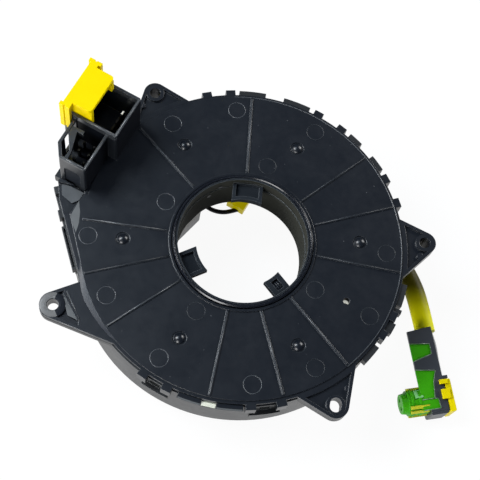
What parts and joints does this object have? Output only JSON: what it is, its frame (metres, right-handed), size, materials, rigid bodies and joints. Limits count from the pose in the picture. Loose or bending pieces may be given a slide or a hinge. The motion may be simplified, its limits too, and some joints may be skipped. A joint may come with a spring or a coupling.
{
  "type": "steering clock spring",
  "caption": "Round flat case with four screw ears and a wide bore, a turning hub, a raised plug socket with a lock slide, and a short lead to a right-angle plug.",
  "frame": {"origin": "on the axis of the shaft bore, in the plane of its wheel-side mouth", "axes": "+Z along the bore axis towards the steering column, +X through the right-hand ear's side, with the plug socket at the upper left"},
  "size_m": [0.1362, 0.1127, 0.0532],
  "materials": {
    "cover_plastic": "satin black moulding with a fine grain",
    "housing_plastic": "matte black moulding",
    "connector_plastic": "black moulding",
    "hub_plastic": "dark olive grey moulding",
    "collar_plastic": "smooth black ring",
    "lock_yellow": "bright yellow moulding",
    "carrier_white": "natural white moulding",
    "roller_grey": "pale grey moulding",
    "ribbon_film": "amber film over flat copper",
    "cap_pale": "pale moulding",
    "terminal_metal": "tinned brass",
    "sleeve_yellow": "olive yellow sleeve",
    "plug_green": "deep green moulding",
    "plug_black": "black moulding",
    "key_yellow": "yellow moulding",
    "wire_grey": "grey wire skin",
    "lead_black": "black wire skin"
  },
  "bodies": {
    "stator": {"column_cover": "cover_plastic", "stator_housing": "housing_plastic", "column_connector": "connector_plastic", "airbag_terminals": "terminal_metal", "switch_terminals": "terminal_metal", "stator_lead_block": "connector_plastic", "ribbon_cable": "ribbon_film"},
    "lock": {"connector_lock": "lock_yellow"},
    "rotor": {"rotor_hub": "hub_plastic", "rotor_collar": "collar_plastic", "rotor_lead_block": "plug_black", "rotor_lead_cap": "cap_pale", "wheel_header": "housing_plastic", "wheel_header_pins": "terminal_metal", "airbag_sleeve": "sleeve_yellow", "airbag_wires": "wire_grey", "airbag_plug_cover": "plug_black", "airbag_plug_body": "plug_green", "airbag_plug_keys": "key_yellow", "airbag_plug_contacts": "terminal_metal", "horn_lead": "lead_black", "horn_connector": "key_yellow"},
    "plug_lock": {"airbag_plug_lock": "key_yellow"},
    "carrier": {"roller_carrier": "carrier_white"},
    "roller_1": {"roller_1": "roller_grey"},
    "roller_2": {"roller_2": "roller_grey"},
    "roller_3": {"roller_3": "roller_grey"},
    "roller_4": {"roller_4": "roller_grey"},
    "roller_5": {"roller_5": "roller_grey"},
    "roller_6": {"roller_6": "roller_grey"}
  },
  "joints": [
    {"name": "rotor_turn", "type": "hinge", "parent": "stator", "child": "rotor", "pos_m": [0, 0, 0], "axis": [0, 0, 1], "range_deg": [-900, 900], "deforming": ["ribbon_cable"]},
    {"name": "connector_lock_press", "type": "slide", "parent": "stator", "child": "lock", "axis": [0, 0, 1], "range_m": [-0.0045, 0]},
    {"name": "plug_lock_slide", "type": "slide", "parent": "rotor", "child": "plug_lock", "axis": [0.1633, -0.9866, 0], "range_m": [0, 0.0024]},
    {"name": "carrier_turn", "type": "hinge", "parent": "stator", "child": "carrier", "pos_m": [0, 0, 0], "axis": [0, 0, 1], "range_deg": [-370, 370]},
    {"name": "roller_1_spin", "type": "hinge", "parent": "carrier", "child": "roller_1", "pos_m": [-0.03664, 0.00515, 0.005], "axis": [0, 0, 1], "range_deg": [-2520, 2520]},
    {"name": "roller_2_spin", "type": "hinge", "parent": "carrier", "child": "roller_2", "pos_m": [-0.02278, -0.02916, 0.005], "axis": [0, 0, 1], "range_deg": [-2520, 2520]},
    {"name": "roller_3_spin", "type": "hinge", "parent": "carrier", "child": "roller_3", "pos_m": [0.01386, -0.03431, 0.005], "axis": [0, 0, 1], "range_deg": [-2520, 2520]},
    {"name": "roller_4_spin", "type": "hinge", "parent": "carrier", "child": "roller_4", "pos_m": [0.03664, -0.00515, 0.005], "axis": [0, 0, 1], "range_deg": [-2520, 2520]},
    {"name": "roller_5_spin", "type": "hinge", "parent": "carrier", "child": "roller_5", "pos_m": [0.02278, 0.02916, 0.005], "axis": [0, 0, 1], "range_deg": [-2520, 2520]},
    {"name": "roller_6_spin", "type": "hinge", "parent": "carrier", "child": "roller_6", "pos_m": [-0.01386, 0.03431, 0.005], "axis": [0, 0, 1], "range_deg": [-2520, 2520]}
  ],
  "couplings": [
    {"joint": "carrier_turn", "follows": "rotor_turn", "ratio": 0.4095},
    {"joint": "roller_1_spin", "follows": "rotor_turn", "ratio": -2.796},
    {"joint": "roller_2_spin", "follows": "rotor_turn", "ratio": -2.796},
    {"joint": "roller_3_spin", "follows": "rotor_turn", "ratio": -2.796},
    {"joint": "roller_4_spin", "follows": "rotor_turn", "ratio": -2.796},
    {"joint": "roller_5_spin", "follows": "rotor_turn", "ratio": -2.796},
    {"joint": "roller_6_spin", "follows": "rotor_turn", "ratio": -2.796}
  ]
}
